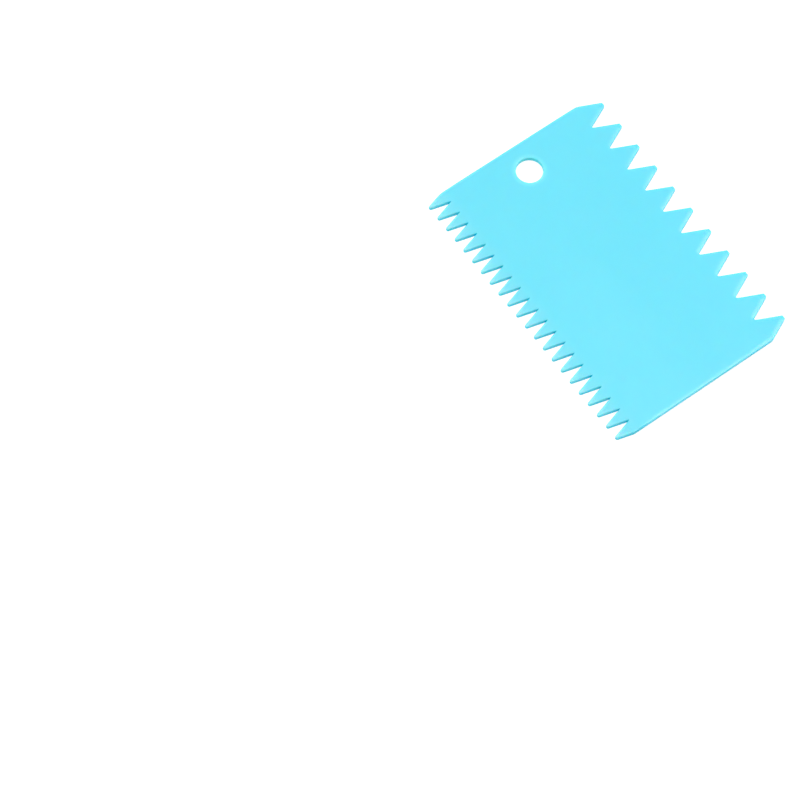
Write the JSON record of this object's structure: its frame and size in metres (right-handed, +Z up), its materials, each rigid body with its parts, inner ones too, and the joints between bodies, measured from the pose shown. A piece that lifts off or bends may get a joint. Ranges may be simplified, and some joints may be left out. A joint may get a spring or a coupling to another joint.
{
  "type": "cake scraper",
  "caption": "Flat plastic cake scraper with coarse teeth along one long edge, fine teeth along the other and a hanging hole at one end.",
  "frame": {"origin": "middle of the overall rectangle of the sheet, on its underside", "axes": "+X along the length, away from the hanging hole; +Y towards the coarse teeth; +Z up through the thickness, out of the face that is seen"},
  "size_m": [0.1092, 0.0724, 0.0017],
  "materials": {
    "plastic": "smooth satin moulded polypropylene, light cyan blue"
  },
  "bodies": {
    "root": {"scraper": "plastic"}
  },
  "joints": []
}
